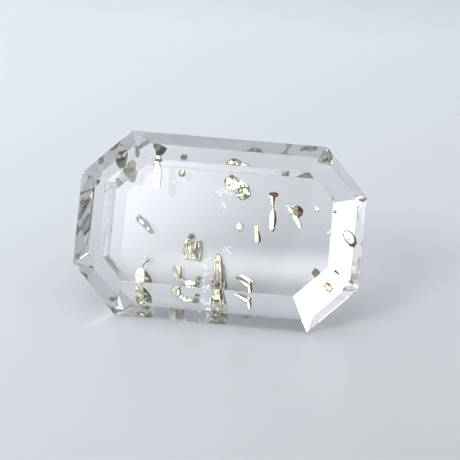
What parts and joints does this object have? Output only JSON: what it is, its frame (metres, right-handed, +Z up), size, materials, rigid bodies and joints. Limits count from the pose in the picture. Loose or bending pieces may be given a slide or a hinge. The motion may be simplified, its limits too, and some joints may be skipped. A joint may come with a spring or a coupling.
{
  "type": "pyrite in quartz specimen",
  "caption": "Clear rock crystal tablet with cut facets and pyrite crystals sealed inside, leaning back on its long lower facet.",
  "frame": {"origin": "centre of the bounding box's bottom face, on the surface that the stone stands on", "axes": "+X along the stone's length, -Y towards the viewer who faces the table, +Z up"},
  "size_m": [0.02, 0.0092, 0.0112],
  "materials": {
    "quartz": "polished flat facets, clear and colourless",
    "pyrite": "metallic, pale brass yellow, striated, sealed inside the quartz"
  },
  "bodies": {
    "root": {"quartz_tablet": "quartz"}
  },
  "joints": []
}
